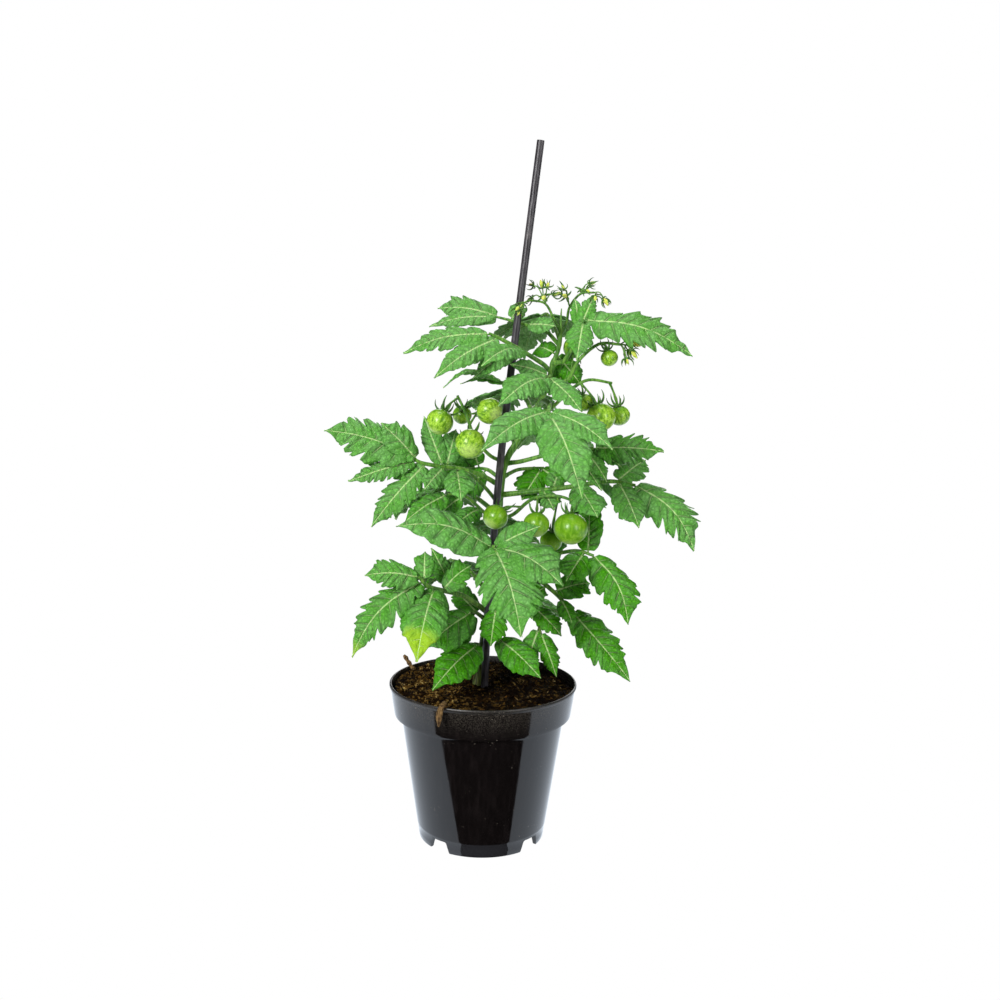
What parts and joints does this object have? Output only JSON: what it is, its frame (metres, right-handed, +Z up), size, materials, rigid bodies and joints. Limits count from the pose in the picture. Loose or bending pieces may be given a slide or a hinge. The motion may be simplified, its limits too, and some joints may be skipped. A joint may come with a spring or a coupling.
{
  "type": "potted tomato plant",
  "caption": "Young bush tomato in a round black nursery pot, grown beside a thin dark stake, with green fruit on its trusses and small flower buds at the top.",
  "frame": {"origin": "on the surface that the pot's foot ring rests on, under the middle of the whole plant; the pot's own axis stands 15 mm to the left and 6 mm to the front of it, because the plant spreads unevenly", "axes": "+Z straight up, parallel to the pot's axis; -Y is the front, where the fullest leaves and most of the fruit face; +X is to the right seen from the front"},
  "size_m": [0.2451, 0.2086, 0.4753],
  "materials": {
    "pot_plastic": "satin black polypropylene",
    "peat": "loose fibrous peat",
    "stake_plastic": "dark, slightly grained",
    "stalk": "soft green, finely hairy",
    "leaf": "matte to satin, quilted",
    "tomato": "satin unripe fruit",
    "bark": "rough dry bark"
  },
  "bodies": {
    "root": {"pot": "pot_plastic", "soil": "peat", "stake": "stake_plastic", "main_stem": "stalk", "leaf_01": "leaf", "leaf_02": "leaf", "leaf_03": "leaf", "leaf_04": "leaf", "leaf_05": "leaf", "leaf_06": "leaf", "leaf_07": "leaf", "leaf_08": "leaf", "leaf_09": "leaf", "leaf_10": "leaf", "leaf_11": "leaf", "leaf_12": "leaf", "leaf_13": "leaf", "leaf_14": "leaf", "leaf_15": "leaf", "leaf_16": "leaf", "leaf_17": "leaf", "leaf_18": "leaf", "leaf_19": "leaf", "leaf_20": "leaf", "leaf_21": "leaf", "leaf_22": "leaf", "leaf_23": "leaf", "leaf_24": "leaf", "leaf_25": "leaf", "leaf_26": "leaf", "leaf_27": "leaf", "leaf_28": "leaf", "leaf_29": "leaf", "leaf_30": "leaf", "truss_left": "stalk", "truss_right": "stalk", "truss_upper": "stalk", "truss_centre": "stalk", "truss_back": "stalk", "tomato_left_1": "tomato", "tomato_left_2": "tomato", "tomato_left_3": "tomato", "tomato_left_4": "tomato", "tomato_right_1": "tomato", "tomato_right_2": "tomato", "tomato_right_3": "tomato", "tomato_upper_1": "tomato", "tomato_upper_2": "tomato", "tomato_centre_1": "tomato", "tomato_centre_2": "tomato", "tomato_centre_3": "tomato", "tomato_centre_4": "tomato", "tomato_back_1": "tomato", "tomato_back_2": "tomato", "flowers_left": "stalk", "flowers_right": "stalk", "wood_chip": "bark", "bark_twig": "bark"}
  },
  "joints": []
}
